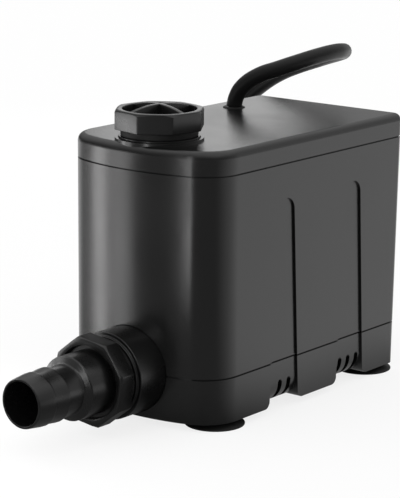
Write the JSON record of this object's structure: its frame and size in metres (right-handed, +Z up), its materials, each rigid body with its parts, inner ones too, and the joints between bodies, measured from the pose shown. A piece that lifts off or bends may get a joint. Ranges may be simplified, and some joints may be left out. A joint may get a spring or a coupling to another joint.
{
  "type": "fountain submersible pump",
  "caption": "Submersible fountain pump with a lidded casing, slotted intake tray on suction cups, plugged upper port, front hose barb, wet-rotor motor and power cord",
  "frame": {"origin": "middle of the whole pump's footprint, barb and cups included, on the surface that the suction cups stand on", "axes": "+Z up, along the rotor's shaft; -Y ahead, the way the hose barb points; +X completes the set, to the left of one who looks along the barb"},
  "size_m": [0.2247, 0.3762, 0.183],
  "materials": {
    "casing_plastic": "satin",
    "fitting_plastic": "satin",
    "inner_plastic": "satin",
    "black_rubber": "matte",
    "cord_jacket": "satin",
    "steel": "satin",
    "nylon": "satin",
    "magnet": "matte",
    "ceramic": "polished",
    "lamination": "satin",
    "copper": "satin",
    "resin": "gloss",
    "plug_brass": "polished"
  },
  "bodies": {
    "housing": {"top_lid": "casing_plastic", "main_casing": "casing_plastic", "base_tray": "casing_plastic", "suction_cups": "black_rubber", "case_screws": "steel", "outlet_barrel": "fitting_plastic", "barrel_end": "fitting_plastic", "outlet_riser": "fitting_plastic", "barrel_cradle": "fitting_plastic", "pump_chamber": "inner_plastic", "chamber_cover": "inner_plastic", "chamber_gasket": "black_rubber", "chamber_screws": "steel", "rotor_shaft": "ceramic", "lower_bush": "black_rubber", "upper_bush": "black_rubber", "rotor_can": "inner_plastic", "motor_case": "inner_plastic", "motor_screws": "steel", "stator_core": "lamination", "bobbins": "nylon", "coil_left": "copper", "coil_right": "copper", "potting_cap": "resin", "cord_grommet": "black_rubber", "cord_lead": "cord_jacket", "cord_free": "cord_jacket", "cord_coil": "cord_jacket", "cord_tie": "cord_jacket", "cord_tail": "cord_jacket", "plug_body": "cord_jacket", "plug_blades": "plug_brass", "earth_pin": "plug_brass"},
    "rotor": {"impeller": "nylon", "rotor_magnet": "magnet"},
    "cap_washer": {"cap_seal": "black_rubber"},
    "cap": {"port_cap": "fitting_plastic"},
    "barb_washer": {"barb_seal": "black_rubber"},
    "barb": {"hose_barb": "fitting_plastic"}
  },
  "joints": [
    {"name": "rotor_spin", "type": "hinge", "parent": "housing", "child": "rotor", "pos_m": [0, 0.048, 0.06], "axis": [0, 0, 1], "continuous": true},
    {"name": "cap_lift", "type": "slide", "parent": "housing", "child": "cap_washer", "axis": [0, 0, 1], "range_m": [0, 0.012]},
    {"name": "cap_turn", "type": "hinge", "parent": "cap_washer", "child": "cap", "pos_m": [0, -0.024, 0.15], "axis": [0, 0, 1], "range_deg": [0, 1440]},
    {"name": "barb_slide", "type": "slide", "parent": "housing", "child": "barb_washer", "axis": [0, -1, 0], "range_m": [0, 0.012]},
    {"name": "barb_turn", "type": "hinge", "parent": "barb_washer", "child": "barb", "pos_m": [0, -0.07, 0.0287], "axis": [0, -1, 0], "range_deg": [0, 1440]}
  ],
  "couplings": [
    {"joint": "cap_lift", "follows": "cap_turn", "m_per_rad": 0.00047746},
    {"joint": "barb_slide", "follows": "barb_turn", "m_per_rad": 0.00047746}
  ]
}
